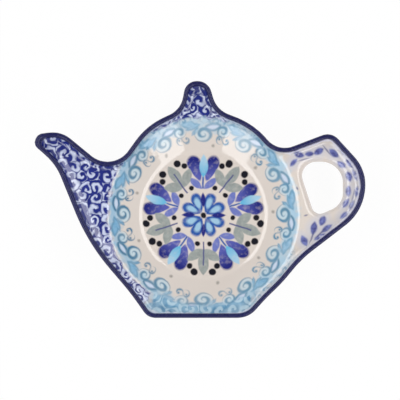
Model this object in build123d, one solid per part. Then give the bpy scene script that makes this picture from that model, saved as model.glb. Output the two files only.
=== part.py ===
from build123d import *
import os
from math import tan, radians

# A teapot-shaped tea bag rest: one stoneware dish and the glaze coats on it.
# Millimetres. The origin is the centre of the foot ring, on the table: +X points to the handle,
# +Y to the lid knob and +Z up.

# Heights, from the table up
FOOT_HEIGHT = 1.5       # bare ring under the base panel
BOWL_WALL = 3.5         # bowl, coats included
BOWL_DEPTH = 8.8        # from the tray down to the well
RIM_RISE = 4.2          # from the tray up to the top of the lip

# Walls and coats
TRAY_WALL = 4.2         # floor of the spout, the knob and the handle, coats included
LIP_WIDTH = 1.9         # raised rim, coats included
LIP_FLAT = 0.2          # left flat on top, between the round edges of the lip
GLAZE = 0.3             # thickness of every coat
BAND_DROP = 2.1         # the dark coat reaches this far down from the top of the lip

# Bowl
BOWL_RADIUS = 37.4      # crest, where the bowl meets the tray
WELL_RADIUS = 24.5      # where the slope meets the flat well
WELL_ROUND = 7.0        # between the well and the slope
CREST_DROP = 0.4        # the crest rounds off from this far below the tray
CREST_ANGLE = 12.0      # degrees, of the last stretch before the tray
CREST_ROUND = 2.4

# Foot ring
FOOT_SETBACK = 0.2      # its outside lies this far within the edge of the well
FOOT_WIDTH = 2.6
FOOT_ROUND = 0.6

# Edges
WALL_DRAFT = 5.0        # degrees, the outer wall leans in towards its lower edge
UNDER_ROUND = 1.1       # lower edge of the outer wall
COVE_ROUND = 1.7        # between the tray and the inside of the lip
COVE_ROOM = 0.2         # corners of the space inside the lip are rounder than its cove by this much
LOOP_ROUND_TOP = 2.8    # edge of the handle loop, above and below
LOOP_ROUND_UNDER = 1.1

# Plan of the teapot, counter-clockwise from the foot of the pot: corners of the polygon that its arcs
# and lines touch, each with the share of its shorter side that its arc takes up
OUTLINE = [
    (17.5, -41.5, 0.40),    # right corner of the base
    (24.4, -33.8, 0.40),    # waist
    (30.4, -28.1, 0.40),    # belly
    (38.5, -18.4, 0.40),    # root of the handle
    (61.8, -0.5, 0.48),     # lower bend of the handle
    (64.5, 15.8, 0.48),     # upper bend of the handle
    (50.2, 31.7, 0.18),     # upper corner of the handle
    (29.3, 23.7, 0.42),     # dip between the shoulder and the handle
    (19.7, 34.7, 0.50),     # right shoulder
    (5.3, 40.4, 0.40),      # right root of the knob
    (1.9, 51.8, 0.48),      # top of the knob
    (-6.9, 51.8, 0.48),
    (-9.1, 40.4, 0.40),     # left root of the knob
    (-22.4, 34.1, 0.50),    # left shoulder
    (-35.7, 15.4, 0.46),    # dip between the spout and the shoulder
    (-55.7, 31.9, 0.50),    # back of the spout
    (-65.1, 30.8, 0.45),    # upper lip of the spout
    (-66.8, 26.5, 0.45),    # lower lip of the spout
    (-57.9, 18.6, 0.45),    # underside of the spout
    (-45.3, -12.1, 0.50),   # belly
    (-28.3, -32.0, 0.40),   # waist
    (-21.6, -41.5, 0.24),   # left corner of the base
]

# Finger loop of the handle, in the same terms
LOOP = [
    (43.8, -1.3, 0.30),
    (54.9, 3.5, 0.40),
    (54.9, 20.6, 0.50),
    (36.8, 20.4, 0.42),
]

SLACK = 1.0             # cutters run past the solids that they meet by this much
BITE = 0.05             # the bowl cuts this far into the lip, so that its wall and the lip's never coincide
TOUCH = 0.001           # points nearer than this are the same

WELL_HEIGHT = FOOT_HEIGHT + BOWL_WALL
TRAY_HEIGHT = WELL_HEIGHT + BOWL_DEPTH
RIM_HEIGHT = TRAY_HEIGHT + RIM_RISE
LIP_ROUND = (LIP_WIDTH - LIP_FLAT) / 2
FOOT_RADIUS = WELL_RADIUS - FOOT_SETBACK


def rounded(corners):
    """Closed wire of lines and tangent arcs that touches the sides of a polygon."""
    points = [Vector(x, y) for x, y, share in corners]
    radii = []
    for i, (x, y, share) in enumerate(corners):
        before = points[i - 1] - points[i]
        after = points[(i + 1) % len(points)] - points[i]
        run = share * min(before.length, after.length)
        radii.append(run * tan(radians(before.get_angle(after) / 2)))
    return Wire(FilletPolyline(*points, radius=radii, close=True).edges())


def plan(inset, opened=0.0):
    """Face inside the teapot's outline, inset all round, with no corner of it tighter than opened."""
    wire = rounded(OUTLINE)
    if inset + opened:
        wire = wire.offset_2d(-inset - opened, kind=Kind.ARC)
    if opened:
        wire = wire.offset_2d(opened, kind=Kind.ARC)
    return Face(wire)


def lip_plan(inset):
    """Plan of the space inside the lip, grown into the clay by the inset."""
    return plan(LIP_WIDTH - inset, COVE_ROUND + inset + COVE_ROOM)


def loop_plan(inset):
    """Plan of the handle's finger loop, grown into the clay by the inset."""
    wire = rounded(LOOP)
    return Face(wire.offset_2d(inset, kind=Kind.ARC) if inset else wire)


def prism(face, low, high):
    """Upright solid on a plan, between two heights."""
    return extrude(Pos(0, 0, low) * face, high - low)


def level_edges(solid, height, plan_face=None):
    """Edges of a solid's flat faces at one height, or only those on the border of a plan."""
    flats = solid.faces().filter_by(Plane.XY)
    edges = [e for f in flats if abs(f.center().Z - height) < TOUCH for e in f.edges()]
    if plan_face:
        border = Pos(0, 0, height) * plan_face.outer_wire()
        edges = [e for e in edges if border.distance_to(e.position_at(0.5)) < TOUCH]
    return ShapeList(edges)


def shifted(corners, shift):
    """Open polyline moved sideways, to the right of its direction, by a distance."""
    sides = [(b - a).normalized() for a, b in zip(corners, corners[1:])]
    normals = [Vector(side.Y, -side.X) for side in sides]
    moved = [corners[0] + normals[0] * shift]
    for corner, left, right in zip(corners[1:], normals, normals[1:]):
        moved.append(corner + (left + right) * (shift / (1 + left.dot(right))))
    moved.append(corners[-1] + normals[-1] * shift)
    return moved


def bowl_space(shift, crested):
    """Round solid above the bowl's profile, which is moved into the clay; the slope ends in the
    rounded crest or runs straight on."""
    crest_height = TRAY_HEIGHT - CREST_DROP
    top = RIM_HEIGHT + SLACK
    corners = [Vector(0, WELL_HEIGHT), Vector(WELL_RADIUS, WELL_HEIGHT)]
    radii = [WELL_ROUND + shift]
    if crested:
        corners.append(Vector(BOWL_RADIUS, crest_height))
        corners.append(Vector(BOWL_RADIUS + (top - crest_height) / tan(radians(CREST_ANGLE)), top))
        radii.append(CREST_ROUND - shift)
    else:
        spread = (BOWL_RADIUS - WELL_RADIUS) / (crest_height - WELL_HEIGHT)
        corners.append(Vector(WELL_RADIUS + spread * (top - WELL_HEIGHT), top))
    line = shifted(corners, shift)
    slope = FilletPolyline(*line, radius=radii)
    start, end = line[0], line[-1]
    lid = top + SLACK
    closing = Polyline((end.X, end.Y), (end.X, lid), (0, lid), (start.X, start.Y))
    return revolve(Plane.XZ * make_face([*slope.edges(), *closing.edges()]), Axis.Z)


def pocket(inset):
    """Space inside the lip, down to the tray, with its cove."""
    floor = TRAY_HEIGHT - inset
    space = prism(lip_plan(inset), floor, RIM_HEIGHT + SLACK)
    return fillet(level_edges(space, floor), COVE_ROUND + inset)


def bowl(inset):
    """Space of the bowl, as far as the lip."""
    return bowl_space(inset, True) & prism(lip_plan(inset + BITE), 0, RIM_HEIGHT + SLACK)


def dish(inset):
    """The dish, with every surface moved into the clay by the inset."""
    under = TRAY_HEIGHT - TRAY_WALL + inset
    floor = TRAY_HEIGHT - inset
    top = RIM_HEIGHT - inset
    loop = loop_plan(inset)

    slab = extrude(Pos(0, 0, top) * plan(inset), top - under, dir=(0, 0, -1), taper=WALL_DRAFT)
    slab = fillet(level_edges(slab, under), UNDER_ROUND)
    tray = slab - pocket(inset) - prism(loop, under - SLACK, top)
    tray = fillet(level_edges(tray, top), LIP_ROUND - inset)
    tray = fillet(level_edges(tray, floor, loop), LOOP_ROUND_TOP - inset)
    tray = fillet(level_edges(tray, under, loop), LOOP_ROUND_UNDER - inset)

    drawn_in = inset + (top - under) * tan(radians(WALL_DRAFT)) + UNDER_ROUND
    belly = bowl_space(BOWL_WALL - inset, False) & prism(plan(drawn_in), 0, under + SLACK)
    return tray + belly - bowl(inset)


def foot_ring():
    """Bare ring under the bowl, with its lower edges wiped round."""
    height = FOOT_HEIGHT + BOWL_WALL / 2
    ring = prism(Face(Wire.make_circle(FOOT_RADIUS)), 0, height)
    ring -= prism(Face(Wire.make_circle(FOOT_RADIUS - FOOT_WIDTH)), -SLACK, height + SLACK)
    return fillet(level_edges(ring, 0), FOOT_ROUND)


stoneware_body = dish(GLAZE) + foot_ring()
coats = dish(0) - stoneware_body

# Where one coat ends and the next begins: at a height on the lip, half way through the handle loop
# and under the foot ring
above_band = prism(plan(-SLACK), RIM_HEIGHT - BAND_DROP, RIM_HEIGHT + SLACK)
loop_edge = prism(loop_plan(LOOP_ROUND_TOP), TRAY_HEIGHT - TRAY_WALL / 2, TRAY_HEIGHT)
inside = pocket(GLAZE) + bowl(GLAZE) + loop_edge
base_plan = Face(Wire.make_circle(FOOT_RADIUS - FOOT_WIDTH / 2))
under_base = prism(base_plan, 0, FOOT_HEIGHT + BOWL_WALL / 2)

lower_coats = coats - above_band
nodes = {
    "stoneware_body": stoneware_body,
    "inner_glaze": lower_coats & inside,
    "rim_band": coats & above_band,
    "outer_glaze": lower_coats - inside - under_base,
    "base_glaze": lower_coats & under_base,
}

os.makedirs("parts", exist_ok=True)
for name, node in nodes.items():
    export_step(node, f"parts/{name}.step")
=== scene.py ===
import math
from functools import reduce
import bpy
import numpy as np
from mathutils import Matrix, Vector
from mathutils.bvhtree import BVHTree


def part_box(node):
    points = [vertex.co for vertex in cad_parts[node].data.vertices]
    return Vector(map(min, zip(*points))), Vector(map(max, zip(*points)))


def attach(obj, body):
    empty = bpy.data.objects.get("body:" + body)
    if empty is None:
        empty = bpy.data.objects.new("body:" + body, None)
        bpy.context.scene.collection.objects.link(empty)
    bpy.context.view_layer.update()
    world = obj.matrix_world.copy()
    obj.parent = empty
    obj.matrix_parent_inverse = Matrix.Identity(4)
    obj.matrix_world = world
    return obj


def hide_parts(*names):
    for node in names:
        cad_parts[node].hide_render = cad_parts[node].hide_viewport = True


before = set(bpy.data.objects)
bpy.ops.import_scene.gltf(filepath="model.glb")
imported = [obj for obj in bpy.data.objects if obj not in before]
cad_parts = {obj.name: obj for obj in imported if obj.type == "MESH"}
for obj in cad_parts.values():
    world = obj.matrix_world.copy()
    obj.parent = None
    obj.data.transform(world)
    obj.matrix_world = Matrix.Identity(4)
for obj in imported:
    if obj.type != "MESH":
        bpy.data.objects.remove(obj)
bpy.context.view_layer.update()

# A teapot-shaped tea bag rest of hand-painted stoneware, seen from above on a white table. Metres, in
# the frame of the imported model: +X points to the handle, +Y to the lid knob, +Z up, and the origin is
# the centre of the foot ring. The paint is drawn in millimetres.

MM = 0.001

# Packed coats: on the bowl and the tray, over the lip, on the outside, and inside the foot ring
COATS = ["inner_glaze", "rim_band", "outer_glaze", "base_glaze"]

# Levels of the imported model, in millimetres
BAND_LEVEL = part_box("rim_band")[0].z / MM
RIM_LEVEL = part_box("rim_band")[1].z / MM
TRAY_LEVEL = 13.8
UNDER_LEVEL = 9.6           # underside of the tray, where the outer wall begins
FOOT_JOIN = 2.2             # the foot ring's wall lies below this

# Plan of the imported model, in millimetres
CREST_RADIUS = 37.6         # top of the bowl's slope
KNOB_FOOT = 38.0            # the knob lies beyond this Y
LOOP_SIDE = 36.0            # the handle's loop lies beyond this X
LOOP_WALL = (37, -2, 10.4), (56, 22, 12)    # box round the lower half of the loop's wall

# Glaze surface
VOXEL = 0.45 * MM           # grid that the coats are melted together on
SMOOTHING = 14              # rounds that take the grid's steps away
SMOOTH_STEPS = 0.5, -0.53   # in and out again in each round, so that nothing shrinks
GLAZE_CLEAR = 0.12 * MM     # the glaze stands at least this far out from the clay
GLAZE_LINE = 0.8 * MM       # the glaze ends this high on the foot ring
COAT_DEPTH = 0.14 * MM      # thickness of a coat's shell

# Crease between the tray and its lip, which the glaze fills
CREASE_ROUNDS = 45
CREASE_STEP = 0.5
CREASE_NEAR = 3.6 * MM      # it reaches this far from the dark band by the bowl and in the knob
CREASE_FAR = 5.0 * MM       # and this far on the spout and the handle
CREASE_FADE = 1.5 * MM
CREASE_GROWTH = 2.0, 4.0    # it widens between these distances outside the bowl's crest
KNOB_FADE = 4.0             # and narrows over this length below the knob
LOOP_REACH = 5.6 * MM       # the edge of the handle's loop is rounded as far as this from its wall

# Where the tray rises to its lip, by the spout and by the handle: side of the dish, distance along X
# where that begins, direction from the lip to the tray, rise, and width of the rise
BANKS = [(-1, 28.0, (0.84, 0.54), 1.8, 5.5), (1, 52.0, (-0.93, -0.30), 0.8, 3.0)]
BANK_FACING = 0.4, 0.9      # the rise grows between these cosines of the angle to its direction
BANK_DEPTH = 0.3            # and leaves out what lies further than this below the tray

# Flat map of a coat
SPREAD = 0.8                # how far its steep walls are folded out
MAP_SHARE = 0.72            # its outside takes up this much of the map's height
MAP_BACK = 0.33             # and its back is drawn this small above that
MAP_MARGIN = 0.01

# Photograph, 400 by 400 pixels
PICTURE = 400
PIXEL = 0.392 * MM          # size of a pixel at the tray
BOWL_PIXEL = 203.5, 212.7   # middle of the bowl at the tray's level
CAMERA_TILT = 6.2           # degrees from straight down, towards the foot of the teapot
CAMERA_DISTANCE = 0.85
CAMERA_NEAR = 0.01
SENSOR = 36.0

# Studio
TABLE_HALF = 3.0
TABLE_TONE = 0.9
TABLE_GLOW = 0.94           # share of plain white in what is seen of the table; the rest takes shadow
LIGHT_AROUND = 0.62
LIGHT_OVERHEAD = 0.12
CEILING_EDGE = 0.83         # directions with a larger upward part look at the dark ceiling
CEILING_BLUR = 0.2
SOFTBOX_PLACE = 0.42, -0.22, 0.56           # of the right one
SOFTBOX_SIZE = 0.28, 1.57
SOFTBOX_LIGHT = 2.5

# Gloss
GLAZE_IOR = 1.75
RIM_IOR = 1.45
GLAZE_SHINE = 0.5
CLAY_SHINE = 0.25

# Colours
CREAM = "#ddd4cc"
CREAM_WARM = "#d6c8bd"
NAVY = "#15154a"
NAVY_THIN = "#1b1b3e"
COBALT = "#111a62"
COBALT_PALE = "#2c3996"
LAVENDER = "#ced6ee"
BLED = "#a3a6da"
# unpainted glaze at the lip's foot, made paler and bluer as a painted highlight
UNPAINTED_WITH_HIGHLIGHT = "#e6e6f0"
SKY_LINE = "#3f83ac"
TEAL_LINE = "#648da1"
SKY_PALE = "#bcd7e4"
SKY_WASH = "#a4cbe2"
SKY_DEEP = "#2c6b8e"
SKY_LEAF = "#4f97c2"
ICE = "#cfdaee"
GREY = "#858c8a"
GREY_PALE = "#a9afab"
INK = "#12131f"
BLOSSOM = "#20267a"
MID_BLUE = "#2b57a4"
TURQUOISE = "#5cb2d8"
LILAC = "#565cac"
LEAF_BLUE = "#6e79bd"
HAZE = "#b8c6e6"
STALK = "#565a86"
SPECK = "#9b958d"
CLAY = "#c9b8a3"
CLAY_DARK = "#b39c84"

# Paint. A leaf or petal is given by its place, turn in degrees, length and width; a curl by its place,
# radius, pitch, width of line, hand and start; a dot by its place and radius.
BRUSH_EDGE = 0.45           # blur of a brush stroke
SPOT_REACH = 0.08           # size of the specks in the outer glaze, as a share of their spacing
UNPAINTED_HIGHLIGHT_LEVEL = TRAY_LEVEL + 1.0          # above this the lip's foot is painted pale: unpainted glaze with a painted highlight
PRINTED_SIDE = 22.0         # further left than this, and on the knob, the print reaches the lip
PRINT_FADE = 4.0

# Border of the bowl: twelve printed scrolls, drawn along the border and in from it
SCROLLS = 12
SCROLL_RADIUS = 32.3
SCROLL_LENGTH = math.tau * SCROLL_RADIUS / SCROLLS
SCROLL_DROP = 2.2           # it lies this much further out by the foot of the teapot
TUFT_START = 0.385          # share of a scroll that lies before 0 where its tuft is drawn
TUFT = [((5.2, -3.0), -14.0, 6.4, 2.6), ((3.9, -2.2), 16.0, 5.6, 2.0), ((3.2, -0.6), 44.0, 3.8, 1.4)]
ALMOND = (-3.7, -2.4), 10.0, 5.6, 2.3
VOLUTE_START = 0.68         # and where its volutes are drawn
VOLUTE = (0.0, 0.6), 2.9, 2.2, 1.15, -1.0, 0.10
VOLUTE_SQUEEZE = 0.82
VOLUTE_FILL = 2.6
SMALL_VOLUTE = (-6.9, -1.0), 2.2, 1.9, 1.0, 1.0, 0.55
SMALL_SQUEEZE = 0.9
SMALL_FILL = 1.9
HOOKS = [((-9.6, 2.0), 1.6, 2.6, 1.2, -1.0, 0.30), ((-6.9, 2.1), 1.6, 2.6, 1.2, 1.0, 0.10)]
HOOK_DOTS = [((-9.9, 1.7), 0.5), ((-6.6, 1.8), 0.5)]

# Printed parts of the tray: direction, angle to either side of it, radius where it begins, and blur
COBALT_PART = 153.0, 84.0, CREST_RADIUS, 1.0
FOOT_PART = 269.0, 31.0, CREST_RADIUS - 1.0, 1.6
RIGHT_PART = 316.0, 17.0, CREST_RADIUS, 2.0
SHOULDER_PART = 98.0, 55.0, CREST_RADIUS - 1.6, 2.0

# Curls on them: spacing, pitch and width of line
COBALT_CURLS = 4.4, 2.6, 1.05
FOOT_CURLS = 5.0, 2.8, 1.25
SIDE_CURLS = 3.4, 2.2, 0.9
CURL_DISORDER = 0.7         # 0 would put them on a square grid
CURL_GAP = 0.2              # kept between one curl and the next

# Leaves round the handle
HANDLE_LEAVES = [
    ((35.4, 19.9), 48, 4.2, 1.7), ((37.5, 23.0), -12, 4.2, 2.3), ((41.6, 23.4), 8, 3.6, 2.0),
    ((45.2, 24.3), 25, 4.2, 2.5), ((51.2, 23.5), -38, 4.6, 2.5), ((55.4, 23.6), -48, 4.0, 1.7),
    ((57.2, 19.6), -56, 4.6, 1.8), ((54.2, 19.1), -36, 4.0, 2.0), ((59.3, 14.9), -68, 5.0, 1.6),
    ((57.1, 14.3), -72, 4.2, 2.3), ((60.0, 8.1), -98, 4.2, 1.5), ((57.0, 8.5), -94, 4.4, 2.0),
    ((55.9, 3.8), -122, 4.2, 1.9), ((58.0, 2.9), -114, 4.2, 1.4), ((55.0, -0.9), -140, 4.2, 1.7),
    ((46.7, -3.2), 62, 4.2, 2.6), ((43.1, -6.1), 78, 5.2, 2.6), ((48.2, -6.3), 36, 5.2, 2.1),
    ((39.4, -11.0), 112, 4.6, 2.5), ((45.3, -9.6), 30, 5.0, 2.1),
]
HANDLE_STALKS = [
    ((48.4, 24.6), -50, 5.0, 0.6), ((39.8, 21.2), 14, 5.0, 0.5), ((58.7, 17.4), -66, 6.0, 0.5),
    ((58.6, 6.0), -104, 6.0, 0.5), ((42.4, -9.4), 68, 6.0, 0.6), ((46.2, -7.6), 44, 6.0, 0.6),
    ((36.9, 9.6), -60, 1.6, 0.6), ((40.0, -1.2), 20, 1.6, 0.6),
]

# Wreath in the well: tulips and trefoils by turns round four hearts, drawn out along their spokes. A
# stem is given by the distance of its middle, half its length and half its width.
SPOKES = 5
FIRST_SPOKE = 90.0
TULIP_STEM = 13.0, 2.4, 0.35
TULIP_LEAF = (12.6, 2.9), 50, 6.6, 2.8
TULIP_PETAL = (18.6, 3.0), 20, 10.4, 4.8
TULIP_HEART = (19.6, 0.0), 0, 9.0, 3.4
TREFOIL = [((19.2, 0.0), 0, 9.4, 4.4), ((15.8, 3.2), 58, 8.0, 3.8)]
TREFOIL_STEM = 15.4, 4.6, 0.28
BERRIES = [((22.6, 3.7), 1.45), ((20.2, 5.5), 1.2), ((11.4, 2.5), 1.0)]
HEARTS = 4
HEART_HALF = (4.9, 1.7), 24, 7.8, 4.0
HEART_LEAF = (6.0, 0.0), 0, 5.6, 1.9
WREATH_EYE = 1.1
SLOPE_DOTS = 9              # round the foot of the bowl's slope
SLOPE_DOT = (27.6, 0.0), 0.6
SLOPE_TURN = 2.0


def between(values, low, high):
    """0 up to one number, 1 from another on, and even in between."""
    return np.clip((values - low) / (high - low), 0, 1)


def joined_nodes():
    """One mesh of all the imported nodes."""
    points, faces = [], []
    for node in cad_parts.values():
        start = len(points)
        points += [v.co[:] for v in node.data.vertices]
        faces += [[start + i for i in face.vertices] for face in node.data.polygons]
    mesh = bpy.data.meshes.new("melted")
    mesh.from_pydata(points, [], faces)
    return mesh


def remeshed(mesh):
    """Points and quads of the mesh's skin on an even grid."""
    melted = bpy.data.objects.new("melted", mesh)
    bpy.context.scene.collection.objects.link(melted)
    grid = melted.modifiers.new("grid", "REMESH")
    grid.mode = "VOXEL"
    grid.voxel_size = VOXEL
    skin = bpy.data.meshes.new_from_object(melted.evaluated_get(bpy.context.evaluated_depsgraph_get()))
    points = np.zeros(len(skin.vertices) * 3)
    skin.vertices.foreach_get("co", points)
    quads = np.zeros(len(skin.loops), int)
    skin.loops.foreach_get("vertex_index", quads)
    bpy.data.objects.remove(melted)
    bpy.data.meshes.remove(mesh)
    bpy.data.meshes.remove(skin)
    return points.reshape(-1, 3), quads.reshape(-1, 4)


def sides(quads):
    """Start and end of every quad's four sides."""
    return np.concatenate([quads[:, [i, (i + 1) % 4]] for i in range(4)])


def pull(points, quads):
    """Way from every point to the middle of its neighbours."""
    start, end = sides(quads).T
    total = np.stack([np.bincount(start, points[end, axis]) for axis in range(3)], 1)
    return total / np.bincount(start)[:, None] - points


def normals_of(points, quads):
    """Unit normal at every point."""
    corners = points[quads]
    flat = np.cross(corners[:, 2] - corners[:, 0], corners[:, 3] - corners[:, 1])
    total = np.zeros_like(points)
    for i in range(4):
        np.add.at(total, quads[:, i], flat)
    return total / np.linalg.norm(total, axis=1)[:, None]


def tree_of(name, box=None):
    """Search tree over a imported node's faces, or over those with their middle in a box."""
    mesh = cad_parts[name].data
    faces = list(mesh.polygons)
    if box:
        faces = [f for f in faces if all(low < c / MM < high for c, low, high in zip(f.center, *box))]
    return BVHTree.FromPolygons([v.co for v in mesh.vertices], [f.vertices for f in faces])


def gaps(points, tree):
    """Distance of every point from a tree's faces."""
    return np.array([tree.find_nearest(p)[3] for p in points])


def smoothed(points, quads):
    """The points with the grid's steps smoothed away."""
    for step in SMOOTH_STEPS * SMOOTHING:
        points = points + step * pull(points, quads)
    return points


def banked(points, normals):
    """The points with the tray raised in a trough towards the lips of the spout and the handle."""
    rim = tree_of("rim_band")
    away = (points - np.array([rim.find_nearest(p)[0] for p in points]))[:, :2] / MM
    facing = away + normals[:, :2]
    facing /= np.maximum(np.linalg.norm(facing, axis=1), 1e-6)[:, None]
    height = points[:, 2] / MM - TRAY_LEVEL
    floor = (height > -BANK_DEPTH) * np.clip(1 - height / (BAND_LEVEL - TRAY_LEVEL), 0, 1)
    raised = points.copy()
    for side, start, direction, rise, width in BANKS:
        along = np.clip((side * points[:, 0] / MM - start) / width, 0, 1)
        across = np.clip(1 - np.linalg.norm(away, axis=1) / width, 0, 1) ** 2
        raised[:, 2] += rise * MM * across * along * floor * between(facing @ direction, *BANK_FACING)
    return raised


def pooled(points, quads):
    """The points with the creases by the lip filled and the edge of the handle's loop rounded."""
    inside, rim, outside = (gaps(points, tree_of(name)) for name in COATS[:3])
    x, y = points[:, 0] / MM, points[:, 1] / MM
    wide = between(np.hypot(x, y) - CREST_RADIUS, *CREASE_GROWTH)
    wide *= np.clip((KNOB_FOOT - y) / KNOB_FADE, 0, 1)
    soft = np.clip((CREASE_NEAR + (CREASE_FAR - CREASE_NEAR) * wide - rim) / CREASE_FADE, 0, 1)
    loop = gaps(points, tree_of("outer_glaze", LOOP_WALL))
    soft = np.maximum(soft, np.clip((LOOP_REACH - loop) / CREASE_FADE, 0, 1))
    soft *= inside < np.minimum(rim, outside)
    for step in range(CREASE_ROUNDS):
        points = points + CREASE_STEP * soft[:, None] * pull(points, quads)
    return points


def lifted(points, normals):
    """The points moved out wherever they come too near the clay."""
    clay = tree_of("stoneware_body")
    moved = points.copy()
    for i, point in enumerate(points):
        near, facing, face, gap = clay.find_nearest(point)
        height = gap if (Vector(point) - near).dot(facing) > 0 else -gap
        if height < GLAZE_CLEAR:
            moved[i] += normals[i] * (GLAZE_CLEAR - height)
    return moved


def coat_of(points, quads):
    """For every quad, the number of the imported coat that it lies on, or -1 on the bare foot."""
    centres = points[quads].mean(1)
    coat = np.array([gaps(centres, tree_of(name)) for name in COATS]).argmin(0)
    coat[centres[:, 2] < GLAZE_LINE] = -1
    return coat


def glaze_skin():
    """Points, normals and quads of the glaze's skin, and the coat that each quad lies on."""
    points, quads = remeshed(joined_nodes())
    points = smoothed(points, quads)
    points = banked(points, normals_of(points, quads))
    points = pooled(points, quads)
    normals = normals_of(points, quads)
    points = lifted(points, normals)
    return points, normals, quads, coat_of(points, quads)


class Field:
    """A number that varies over the surface: an output of one material's nodes."""

    def __init__(self, socket):
        self.socket = socket

    def calc(self, operation, *others, clamp=False):
        tree = self.socket.id_data
        node = tree.nodes.new("ShaderNodeMath")
        node.operation = operation
        node.use_clamp = clamp
        for place, value in zip(node.inputs, (self, *others)):
            if isinstance(value, Field):
                tree.links.new(value.socket, place)
            else:
                place.default_value = value
        return Field(node.outputs[0])

    def scaled(self, gain, base):
        """The number times a gain, plus a base."""
        return self.calc("MULTIPLY_ADD", gain, base)

    def ramp(self, gain, base):
        """The number times a gain, plus a base, kept between 0 and 1."""
        return self.calc("MULTIPLY_ADD", gain, base, clamp=True)

    def __add__(self, other):
        return self.calc("ADD", other)

    def __sub__(self, other):
        return self.calc("SUBTRACT", other)

    def __rsub__(self, other):
        return self.scaled(-1.0, other)

    def __mul__(self, other):
        return self.calc("MULTIPLY", other)

    def __truediv__(self, other):
        return self.calc("DIVIDE", other)

    def __abs__(self):
        return self.calc("ABSOLUTE")


def hypot(a, b):
    """Length of a vector."""
    return (a * a + b * b).calc("SQRT")


def union(*distances):
    """Distance from the nearest of several shapes."""
    return reduce(lambda a, b: a.calc("MINIMUM", b), distances)


def within(a, b):
    """Distance from what two shapes share."""
    return a.calc("MAXIMUM", b)


def inked(distance, blur=BRUSH_EDGE):
    """1 inside a shape and 0 outside it, with a soft edge, from the distance outside it."""
    return distance.ramp(-1.0 / blur, 0.5)


def placed(x, y, at, degrees):
    """Coordinates along and across a motif that is set down at a place and turned."""
    c, s = math.cos(math.radians(degrees)), math.sin(math.radians(degrees))
    along = x.scaled(c, y.scaled(s, -at[0] * c - at[1] * s))
    across = y.scaled(c, x.scaled(-s, at[0] * s - at[1] * c))
    return along, across


def disc(x, y, at, radius):
    """Distance outside a round dot."""
    return hypot(x - at[0], y - at[1]) - radius


def stem(u, v, middle, half_length, half_width):
    """Distance outside a straight stem along a spoke."""
    return within(v - half_width, abs(u - middle) - half_length)


def leaf(x, y, at, degrees, length, width):
    """Distance outside a leaf that is pointed at both ends."""
    along, across = placed(x, y, at, degrees)
    bend = (length * length + width * width) / (4 * width)
    return hypot(along, abs(across) + (bend - width / 2)) - bend


def leaves(x, y, rows):
    """Distance outside the nearest of several leaves."""
    return union(*(leaf(x, y, *row) for row in rows))


def petal(x, y, at, degrees, length, width, taper=0.45):
    """Distance outside a petal that is wider at its far end."""
    along, across = placed(x, y, at, degrees)
    swell = along.scaled(taper * width / length, width / 2)
    return (hypot(along * (2 / length), across / swell) - 1.0) * (width / 2)


def curl(x, y, at, radius, pitch, width, hand, start, hollow=0.3):
    """Distance from a spiral line that winds in from a radius and stops short of the middle."""
    u, v = x - at[0], y - at[1]
    reach = hypot(u, v)
    turn = v.calc("ARCTAN2", u).scaled(hand / math.tau, start) - reach * (1 / pitch)
    line = abs(turn.calc("FRACT") - 0.5).scaled(pitch, -width / 2)
    ring = abs(reach - (radius + pitch * hollow) / 2) - (radius - pitch * hollow) / 2
    return within(line, ring)


def sector(x, y, count, degrees=0.0):
    """Coordinates out along the nearest of several spokes and across it."""
    reach, step = hypot(x, y), math.tau / count
    turn = y.calc("ARCTAN2", x).scaled(1 / step, 0.5 - math.radians(degrees) / step)
    angle = turn.calc("FRACT").scaled(step, -step / 2)
    return reach * angle.calc("COSINE"), reach * angle.calc("SINE")


def linear(code):
    """Linear colour from a hexadecimal code."""
    parts = [int(code[i:i + 2], 16) / 255 for i in (1, 3, 5)]
    return [c / 12.92 if c <= 0.04045 else ((c + 0.055) / 1.055) ** 2.4 for c in parts] + [1.0]


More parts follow.
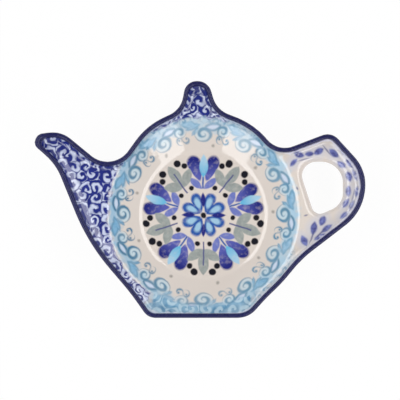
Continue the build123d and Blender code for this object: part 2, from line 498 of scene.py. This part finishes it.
class Paint:
    """The nodes of one material, and the colour that its layers build up."""

    def __init__(self, name, ground):
        self.material = bpy.data.materials.new(name)
        self.material.use_nodes = True
        self.tree = self.material.node_tree
        self.tree.nodes.clear()
        scale = self.node("ShaderNodeVectorMath", operation="MULTIPLY")
        self.link(self.node("ShaderNodeTexCoord").outputs["Object"], scale.inputs[0])
        scale.inputs[1].default_value = (1 / MM,) * 3
        self.place = scale.outputs[0]
        parts = self.node("ShaderNodeSeparateXYZ")
        self.link(self.place, parts.inputs[0])
        self.x, self.y, self.z = (Field(socket) for socket in parts.outputs)
        self.colour = ground

    def node(self, kind, **settings):
        made = self.tree.nodes.new(kind)
        for name, value in settings.items():
            setattr(made, name, value)
        return made

    def link(self, source, target):
        self.tree.links.new(source, target)

    def feed(self, value, target):
        """Sets an input to a number, a colour's code, or what a field or a node gives."""
        if isinstance(value, Field):
            value = value.socket
        if isinstance(value, bpy.types.NodeSocket):
            self.link(value, target)
        else:
            target.default_value = linear(value) if isinstance(value, str) else value

    def noise(self, size, detail=2.0, shift=0.0):
        """Cloudy numbers about 0.5, with spots of a size in millimetres."""
        cloud = self.node("ShaderNodeTexNoise")
        moved = self.node("ShaderNodeVectorMath", operation="ADD")
        self.link(self.place, moved.inputs[0])
        moved.inputs[1].default_value = (shift, -shift, shift)
        self.link(moved.outputs[0], cloud.inputs["Vector"])
        cloud.inputs["Scale"].default_value = 1 / size
        cloud.inputs["Detail"].default_value = detail
        return Field(cloud.outputs[0])

    def sway(self, size, amount, shift=0.0, detail=1.0):
        """Cloudy numbers about 0, as a share of an amount in millimetres."""
        return (self.noise(size, detail, shift) - 0.5) * amount

    def cells(self, x, y, size, feature):
        """A scatter of cells of a size in millimetres."""
        flat = self.node("ShaderNodeCombineXYZ")
        self.feed(x, flat.inputs[0])
        self.feed(y, flat.inputs[1])
        cells = self.node("ShaderNodeTexVoronoi", voronoi_dimensions="2D", feature=feature)
        self.link(flat.outputs[0], cells.inputs["Vector"])
        cells.inputs["Scale"].default_value = 1 / size
        cells.inputs["Randomness"].default_value = CURL_DISORDER
        return cells

    def scatter(self, size):
        """Distance from the nearest of many strewn points, as a share of their spacing."""
        cells = self.node("ShaderNodeTexVoronoi")
        self.link(self.place, cells.inputs["Vector"])
        cells.inputs["Scale"].default_value = 1 / size
        return Field(cells.outputs["Distance"])

    def mixed(self, mask, below, above):
        """One colour over another where a mask is 1."""
        mix = self.node("ShaderNodeMix", data_type="RGBA")
        self.feed(mask, mix.inputs[0])
        self.feed(below, mix.inputs[6])
        self.feed(above, mix.inputs[7])
        return mix.outputs[2]

    def layer(self, mask, colour, share=1.0):
        """Brushes a colour over what is there, or only a share of it."""
        self.colour = self.mixed(mask if share == 1.0 else mask * share, self.colour, colour)

    def glazed(self, roughness, waves, ior=GLAZE_IOR, shine=GLAZE_SHINE):
        """Ends the material as a glossy surface with slight waves."""
        shader = self.node("ShaderNodeBsdfPrincipled")
        self.feed(self.colour, shader.inputs["Base Color"])
        self.feed(roughness, shader.inputs["Roughness"])
        shader.inputs["IOR"].default_value = ior
        shader.inputs["Specular IOR Level"].default_value = shine
        bump = self.node("ShaderNodeBump")
        bump.inputs["Strength"].default_value = 1.0
        bump.inputs["Distance"].default_value = MM
        self.feed(waves, bump.inputs["Height"])
        self.link(bump.outputs[0], shader.inputs["Normal"])
        self.link(shader.outputs[0], self.node("ShaderNodeOutputMaterial").inputs["Surface"])
        return self.material


def scroll_place(x, y, start):
    """How far along its scroll a place lies, for scrolls that begin a share of their length before 0."""
    turn = y.calc("ARCTAN2", x).scaled(SCROLLS / math.tau, start)
    return (turn.calc("FRACT") - start) * SCROLL_LENGTH


def scroll_tufts(paint, along, inward, strength, line, wash, cloud):
    """Feathered tufts and pale almonds between the volutes."""
    firm = strength * 0.7 + 0.3
    tuft = leaves(along, inward, TUFT)
    feathered = paint.mixed(paint.noise(1.4, 1.0, 48.0), SKY_LEAF, wash)
    paint.layer(inked(tuft + cloud * 0.2, 0.8) * firm, feathered)
    paint.layer(inked(abs(tuft + 0.2) - 0.25, 0.6) * strength, line, 0.7)
    almond = leaf(along, inward, *ALMOND)
    paint.layer(inked(almond, 0.6), ICE, 0.8)
    paint.layer(inked(abs(almond) - 0.45, 0.6) * firm, line)


def scroll_lines(paint, along, inward, strength, line):
    """Volutes on a pale wash, with small hooks on their inner side."""
    volute, small = along * VOLUTE_SQUEEZE, along * SMALL_SQUEEZE
    fills = union(
        disc(volute, inward, VOLUTE[0], VOLUTE_FILL),
        disc(small, inward, SMALL_VOLUTE[0], SMALL_FILL),
    )
    paint.layer(inked(fills, 0.9) * (strength * 0.6 + 0.2), SKY_PALE)
    lines = union(
        curl(volute, inward, *VOLUTE),
        curl(small, inward, *SMALL_VOLUTE),
        *(curl(along, inward, *row) for row in HOOKS),
        *(disc(along, inward, *row) for row in HOOK_DOTS),
    )
    paint.layer(inked(lines, 0.6) * (strength * 0.55 + 0.45), line)


def scroll_border(paint, x, y):
    """Sky blue scrolls on the slope of the bowl, fainter at its top and foot and darker on its left."""
    reach = hypot(x, y)
    foot = (y / reach).ramp(-5.0, -3.8)
    inward = foot.scaled(SCROLL_DROP, SCROLL_RADIUS) - reach
    strength = (abs(x) / reach * 0.35 + paint.noise(7.0, 2.0, 31.0) * 1.2).calc("ADD", -0.05, clamp=True)
    deep = (x / reach).ramp(-0.8, 0.05)
    line = paint.mixed(paint.noise(4.0, 1.0, 41.0), SKY_LINE, TEAL_LINE)
    line = paint.mixed(deep, line, SKY_DEEP)
    wash = paint.mixed(deep * 0.5, SKY_WASH, SKY_LEAF)
    cloud = paint.sway(2.2, 4.0, 7.0)
    paint.layer(inked(abs(inward + 2.9) - 2.0 + cloud, 2.0) * strength, wash, 0.9)
    scroll_tufts(paint, scroll_place(x, y, TUFT_START), inward, strength, line, wash, cloud)
    scroll_lines(paint, scroll_place(x, y, VOLUTE_START), inward, strength, line)


def printed_curls(paint, x, y, size, pitch, width):
    """Distance from a scatter of uneven curls, each wound its own way."""
    cells = paint.cells(x, y, size, "F1")
    centre = paint.node("ShaderNodeSeparateXYZ")
    paint.link(cells.outputs["Position"], centre.inputs[0])
    chance = paint.node("ShaderNodeSeparateColor")
    paint.link(cells.outputs["Color"], chance.inputs[0])
    u, v = x - Field(centre.outputs[0]), y - Field(centre.outputs[1])
    side, start, loose = (Field(socket) for socket in chance.outputs)
    wind = hypot(u, v) / (loose * (0.8 * pitch) + 0.7 * pitch)
    turn = v.calc("ARCTAN2", u) * (1 / math.tau) * (side - 0.5).calc("SIGN") + start - wind
    line = abs(turn.calc("FRACT") - 0.5).scaled(pitch, -width / 2)
    edge = Field(paint.cells(x, y, size, "DISTANCE_TO_EDGE").outputs["Distance"])
    return within(line, edge.scaled(-size, CURL_GAP)) + paint.sway(2.0, 0.7, 80.0)


def tray_part(paint, x, y, facing, half, inner, blur):
    """1 on the tray outside a radius, within an angle of a direction, with a ragged edge."""
    reach, turn = hypot(x, y), math.radians(facing)
    side = reach * math.cos(math.radians(half)) - x * math.cos(turn) - y * math.sin(turn)
    return inked(within(inner - reach, side) + paint.sway(2.5, 3.0, 23.0), blur)


def cobalt_ground(paint, x, y):
    """Pale curls on cobalt over the spout, the knob and the left side of the tray."""
    place = tray_part(paint, x, y, *COBALT_PART)
    paint.layer(place, paint.mixed(paint.noise(4.0, 2.0, 3.0), COBALT, COBALT_PALE))
    u, v = x + paint.sway(3.0, 2.4, 60.0), y + paint.sway(3.0, 2.4, 70.0)
    low = y.ramp(-0.02, -0.1)
    curls = printed_curls(paint, u, v, *COBALT_CURLS) - low * 0.5
    faded = paint.noise(2.6, 1.0, 90.0).ramp(1.2, 0.35)
    paint.layer(inked(curls, 0.5) * place * faded, LAVENDER)


def foot_border(paint, x, y):
    """Pale curls on sky blue over the foot of the teapot, and strokes up its right side and shoulders."""
    right = tray_part(paint, x, y, *RIGHT_PART)
    place = right.calc("MAXIMUM", tray_part(paint, x, y, *SHOULDER_PART))
    paint.layer(place, SKY_WASH, 0.5)
    paint.layer(inked(printed_curls(paint, x, y, *SIDE_CURLS), 0.6) * place, SKY_LINE, 0.6)
    place = tray_part(paint, x, y, *FOOT_PART)
    deep = paint.noise(3.0, 1.0, 44.0).ramp(2.0, -0.7)
    paint.layer(place, paint.mixed(deep, SKY_LINE, SKY_WASH), 0.9)
    paint.layer(inked(printed_curls(paint, x, y, *FOOT_CURLS), 0.5) * place, SKY_PALE, 0.8)


def handle_leaves(paint, x, y):
    """A chain of leaves along the handle and a sprig at its root."""
    tone = paint.mixed(paint.noise(1.6, 1.0, 17.0).ramp(2.4, -0.7), BLOSSOM, LEAF_BLUE)
    chain = leaves(x, y, HANDLE_LEAVES)
    paint.layer(inked(chain - 1.3, 3.0), HAZE, 0.4)
    paint.layer(inked(chain, 0.7), tone, 0.92)
    paint.layer(inked(leaves(x, y, HANDLE_STALKS), 0.5), STALK, 0.8)


def tulips(paint, x, y, density):
    """Tulips that open outwards, each with two leaves at its stem."""
    u, v = sector(x, y, SPOKES, FIRST_SPOKE)
    v = abs(v)
    paint.layer(inked(stem(u, v, *TULIP_STEM)) * density, MID_BLUE)
    paint.layer(inked(leaf(u, v, *TULIP_LEAF)) * density, LEAF_BLUE)
    opening = u.ramp(0.16, -2.5)
    paint.layer(inked(petal(u, v, *TULIP_PETAL)) * density, paint.mixed(opening, LILAC, BLOSSOM))
    paint.layer(inked(leaf(u, v, *TULIP_HEART)) * density, paint.mixed(opening, TURQUOISE, SKY_WASH))


def trefoils(paint, x, y, density):
    """Grey leaves in threes, with dark berries beside them."""
    u, v = sector(x, y, SPOKES, FIRST_SPOKE + 180.0 / SPOKES)
    v = abs(v)
    tone = paint.mixed(paint.noise(2.0, 1.0, 27.0), GREY, GREY_PALE)
    paint.layer(inked(leaves(u, v, TREFOIL)) * density, tone)
    paint.layer(inked(stem(u, v, *TREFOIL_STEM), 0.4), STALK)
    paint.layer(inked(union(*(disc(u, v, *row) for row in BERRIES))), INK)


def hearts(paint, x, y, density):
    """Four hearts round a dark eye, with a leaf between each two."""
    u, v = sector(x, y, HEARTS, 180.0 / HEARTS)
    heart = petal(u, abs(v), *HEART_HALF)
    paint.layer(inked(heart) * density, MID_BLUE)
    paint.layer(inked(heart + 0.9, 0.6), SKY_WASH, 0.9)
    u, v = sector(x, y, HEARTS)
    paint.layer(inked(leaf(u, v, *HEART_LEAF)) * density, BLOSSOM)
    paint.layer(inked(hypot(x, y) - WREATH_EYE), INK)


def wreath(paint, x, y):
    """A plain wreath in the well."""
    density = paint.noise(1.8, 2.0, 13.0).ramp(1.0, 0.5)
    tulips(paint, x, y, density)
    trefoils(paint, x, y, density)
    hearts(paint, x, y, density)


def slope_dots(paint, x, y):
    """Grey dots round the foot of the bowl's slope."""
    u, v = sector(x, y, SLOPE_DOTS, SLOPE_TURN)
    paint.layer(inked(disc(u, v, *SLOPE_DOT), 0.7), SPECK, 0.9)


def lip_foot_and_highlight(paint):
    """The foot of the lip, left unpainted where nothing is printed and lightened there as a painted
    highlight, and the dark band's lower edge.
    """
    clear_of_print = union(paint.x + PRINTED_SIDE, KNOB_FOOT - paint.y)
    unprinted = clear_of_print.ramp(1 / PRINT_FADE, 0.5)
    # pale strip at the lip's foot: unpainted glaze, lightened as a painted highlight of the glossy crease
    foot = UNPAINTED_HIGHLIGHT_LEVEL - paint.z + paint.sway(2.2, 2.4, 9.0)
    paint.layer(inked(foot, 0.5) * unprinted, UNPAINTED_WITH_HIGHLIGHT, 0.75)
    band = BAND_LEVEL - paint.z + paint.sway(3.0, 0.8, 9.0, 2.0)
    paint.layer(inked(band - 0.4, 0.8) * unprinted, BLED, 0.7)
    paint.layer(inked(band - 0.1, 0.4), NAVY)


def painted_glaze():
    """The decoration under clear glaze on the bowl and the tray, drawn by an unsteady hand."""
    paint = Paint("painted_glaze", CREAM)
    x = paint.x + paint.sway(8.0, 0.9) + paint.sway(2.0, 0.35)
    y = paint.y + paint.sway(8.0, 0.9, 50.0) + paint.sway(2.0, 0.35, 50.0)
    paint.layer(paint.noise(16.0, 3.0, 5.0), CREAM_WARM, 0.5)
    wreath(paint, x, y)
    scroll_border(paint, x, y)
    foot_border(paint, x, y)
    cobalt_ground(paint, x, y)
    handle_leaves(paint, x, y)
    slope_dots(paint, x, y)
    lip_foot_and_highlight(paint)
    return paint.glazed(paint.noise(4.0, 2.0, 14.0) * 0.05 + 0.03, paint.noise(7.0, 2.0, 21.0) * 0.1)


def rim_glaze():
    """Dark cobalt on the lip, thinner and greyer on its top, and less glossy than the rest."""
    paint = Paint("rim_glaze", NAVY)
    thin = inked((RIM_LEVEL - 0.3) - paint.z + paint.sway(4.0, 0.8, detail=2.0), 0.8)
    paint.layer(thin, NAVY_THIN, 0.6)
    paint.layer(paint.noise(6.0, 3.0, 4.0), COBALT, 0.5)
    roughness = paint.noise(3.0, 2.0, 14.0) * 0.1 + 0.22
    return paint.glazed(roughness, paint.noise(5.0, 2.0, 21.0) * 0.1, ior=RIM_IOR)


def clear_glaze():
    """Cream glaze on the outer wall and the underside, with the lower edge of the dark band."""
    paint = Paint("clear_glaze", CREAM)
    paint.layer(paint.noise(16.0, 3.0, 5.0), CREAM_WARM, 0.5)
    paint.layer(inked(paint.scatter(4.0) - SPOT_REACH, 0.06), SPECK, 0.5)
    band = (BAND_LEVEL - 0.6) - paint.z + paint.sway(3.0, 0.9, 9.0, 2.0)
    paint.layer(inked(band, 0.4), NAVY)
    return paint.glazed(paint.noise(4.0, 2.0, 14.0) * 0.06 + 0.08, paint.noise(7.0, 2.0, 21.0) * 0.15)


def bare_clay():
    """Fired clay of the foot ring, wiped clean of glaze."""
    paint = Paint("bare_clay", CLAY)
    paint.layer(paint.noise(1.2, 3.0), CLAY_DARK)
    roughness = paint.noise(1.0, 2.0, 14.0) * 0.2 + 0.72
    return paint.glazed(roughness, paint.noise(0.5, 3.0, 2.0) * 0.08, shine=CLAY_SHINE)


# How far a coat's walls are folded out along their normals, at a distance along X and a height
FOLDS = {
    "inner_glaze": lambda x, z: (TRAY_LEVEL - z) * ((z > TRAY_LEVEL) | (x > LOOP_SIDE)),
    "rim_band": lambda x, z: RIM_LEVEL - z,
    "outer_glaze": lambda x, z: np.maximum(z - UNDER_LEVEL, 0) - np.maximum(FOOT_JOIN - z, 0),
    "base_glaze": lambda x, z: -np.maximum(FOOT_JOIN - z, 0),
}


def flat_map(node, outside, facing):
    """Places of a coat's points on a flat map, with its steep walls folded out along their normals."""
    fold = FOLDS[node](outside[:, 0] / MM, outside[:, 2] / MM) * MM
    flat = outside[:, :2] + SPREAD * facing[:, :2] * fold[:, None]
    flat -= flat.min(0)
    width, height = flat.max(0)
    return flat / max(width, height / MAP_SHARE)


def shell_map(flat):
    """Places on the map of a shell's outside and back, and of the two edges of its border."""
    front = flat * (1 - 2 * MAP_MARGIN) + MAP_MARGIN
    back = flat * MAP_BACK + (MAP_MARGIN, MAP_SHARE + 2 * MAP_MARGIN)
    edge = back + (MAP_BACK + MAP_MARGIN, 0)
    edge_inside = edge + (0.5 - flat) * MAP_MARGIN
    return np.concatenate([front, back, edge, edge_inside])


def border_walls(quads, count):
    """Quads from the border of a surface of some points to that of its back, whose points follow on."""
    edges = sides(quads)
    code = edges[:, 0] * count + edges[:, 1]
    start, end = edges[~np.isin(code, edges[:, 1] * count + edges[:, 0])].T
    return np.column_stack([end, start, start + count, end + count])


def coat_shell(name, node, points, normals, quads):
    """Closed shell over some of the skin's quads, with a flat map of its outside."""
    used, local = np.unique(quads, return_inverse=True)
    local = local.reshape(-1, 4)
    count = len(used)
    surfaces = [local, local[:, ::-1] + count]
    walls = border_walls(local, count)
    faces = np.concatenate([*surfaces, walls])
    outside, facing = points[used], normals[used]

    mesh = bpy.data.meshes.new(name)
    mesh.from_pydata(np.concatenate([outside, outside - facing * COAT_DEPTH]), [], faces)
    mesh.polygons.foreach_set("use_smooth", np.ones(len(faces), bool))
    mesh.normals_split_custom_set_from_vertices(np.concatenate([facing, -facing]))
    spots = shell_map(flat_map(node, outside, facing))
    corners = np.concatenate([*surfaces, walls + 2 * count])
    mesh.uv_layers.new(name="OFBake").uv.foreach_set("vector", spots[corners].ravel())
    piece = bpy.data.objects.new(name, mesh)
    bpy.context.scene.collection.objects.link(piece)
    return piece


def add_coat(skin, name, node, material):
    """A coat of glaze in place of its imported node."""
    points, normals, quads, coat = skin
    piece = coat_shell(name, node, points, normals, quads[coat == COATS.index(node)])
    piece.data.materials.append(material)
    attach(piece, "root")
    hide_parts(node)


def add_softbox(name, side):
    """A soft lamp that leans towards the dish from the left or the right, with its long side along Y."""
    x, y, z = SOFTBOX_PLACE
    width, length = SOFTBOX_SIZE
    lamp = bpy.data.lights.new(name, "AREA")
    lamp.shape = "RECTANGLE"
    lamp.size = length
    lamp.size_y = width
    lamp.energy = SOFTBOX_LIGHT * math.pi * width * length
    made = bpy.data.objects.new(name, lamp)
    made.location = (side * x, y, z)
    made.rotation_euler = Vector((-side * x, 0, -z)).to_track_quat("-Z", "Y").to_euler()
    bpy.context.scene.collection.objects.link(made)


def white_table():
    """White that the camera and reflections see as it is, apart from a faint shadow."""
    material = bpy.data.materials.new("white_table")
    material.use_nodes = True
    nodes, links = material.node_tree.nodes, material.node_tree.links
    nodes.clear()
    kinds = "BsdfDiffuse", "Emission", "MixShader", "LightPath", "OutputMaterial"
    diffuse, glow, mix, path, out = (nodes.new("ShaderNode" + kind) for kind in kinds)
    diffuse.inputs["Color"].default_value = (TABLE_TONE, TABLE_TONE, TABLE_TONE, 1)
    seen = Field(path.outputs["Is Camera Ray"]) + Field(path.outputs["Is Glossy Ray"])
    seen = seen.calc("ADD", Field(path.outputs["Is Transmission Ray"]), clamp=True) * TABLE_GLOW
    links.new(seen.socket, mix.inputs[0])
    links.new(diffuse.outputs[0], mix.inputs[1])
    links.new(glow.outputs[0], mix.inputs[2])
    links.new(mix.outputs[0], out.inputs["Surface"])
    return material


def add_floor():
    """The table."""
    mesh = bpy.data.meshes.new("floor")
    corners = [(-1, -1), (1, -1), (1, 1), (-1, 1)]
    mesh.from_pydata([(x * TABLE_HALF, y * TABLE_HALF, 0) for x, y in corners], [], [(0, 1, 2, 3)])
    mesh.materials.append(white_table())
    floor = bpy.data.objects.new("floor", mesh)
    bpy.context.scene.collection.objects.link(floor)


def add_world():
    """White light from all round, and a darker ceiling straight overhead."""
    world = bpy.data.worlds.new("studio")
    world.use_nodes = True
    nodes, links = world.node_tree.nodes, world.node_tree.links
    direction = nodes.new("ShaderNodeSeparateXYZ")
    links.new(nodes.new("ShaderNodeTexCoord").outputs["Generated"], direction.inputs[0])
    ceiling = inked(CEILING_EDGE - Field(direction.outputs[2]), CEILING_BLUR)
    strength = ceiling.scaled(LIGHT_OVERHEAD - LIGHT_AROUND, LIGHT_AROUND)
    nodes["Background"].inputs["Color"].default_value = (1, 1, 1, 1)
    links.new(strength.socket, nodes["Background"].inputs["Strength"])
    bpy.context.scene.world = world


def add_camera():
    """The photograph's camera, nearly straight above the bowl."""
    tilt = math.radians(CAMERA_TILT)
    right = Vector((1, 0, 0))
    up = Vector((0, math.cos(tilt), math.sin(tilt)))
    back = right.cross(up)
    aim = Vector((0, 0, TRAY_LEVEL * MM))
    aim += right * (PICTURE / 2 - BOWL_PIXEL[0]) * PIXEL + up * (BOWL_PIXEL[1] - PICTURE / 2) * PIXEL
    lens = bpy.data.cameras.new("camera")
    lens.sensor_width = SENSOR
    lens.lens = SENSOR * CAMERA_DISTANCE / (PICTURE * PIXEL)
    lens.clip_start = CAMERA_NEAR
    camera = bpy.data.objects.new("camera", lens)
    turn = Matrix((right, up, back)).transposed().to_4x4()
    camera.matrix_world = Matrix.Translation(aim + back * CAMERA_DISTANCE) @ turn
    bpy.context.scene.collection.objects.link(camera)
    bpy.context.scene.camera = camera


for name in ("Cube", "Light", "Camera"):
    if name in bpy.data.objects:
        bpy.data.objects.remove(bpy.data.objects[name])

skin = glaze_skin()
clear = clear_glaze()
add_coat(skin, "painted_inside", "inner_glaze", painted_glaze())
add_coat(skin, "dark_rim", "rim_band", rim_glaze())
add_coat(skin, "outer_wall", "outer_glaze", clear)
add_coat(skin, "base_panel", "base_glaze", clear)
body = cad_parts["stoneware_body"]
body.data.materials.clear()
body.data.materials.append(bare_clay())

add_floor()
add_world()
add_softbox("left_softbox", -1)
add_softbox("right_softbox", 1)
add_camera()
bpy.context.scene.view_settings.view_transform = "Standard"
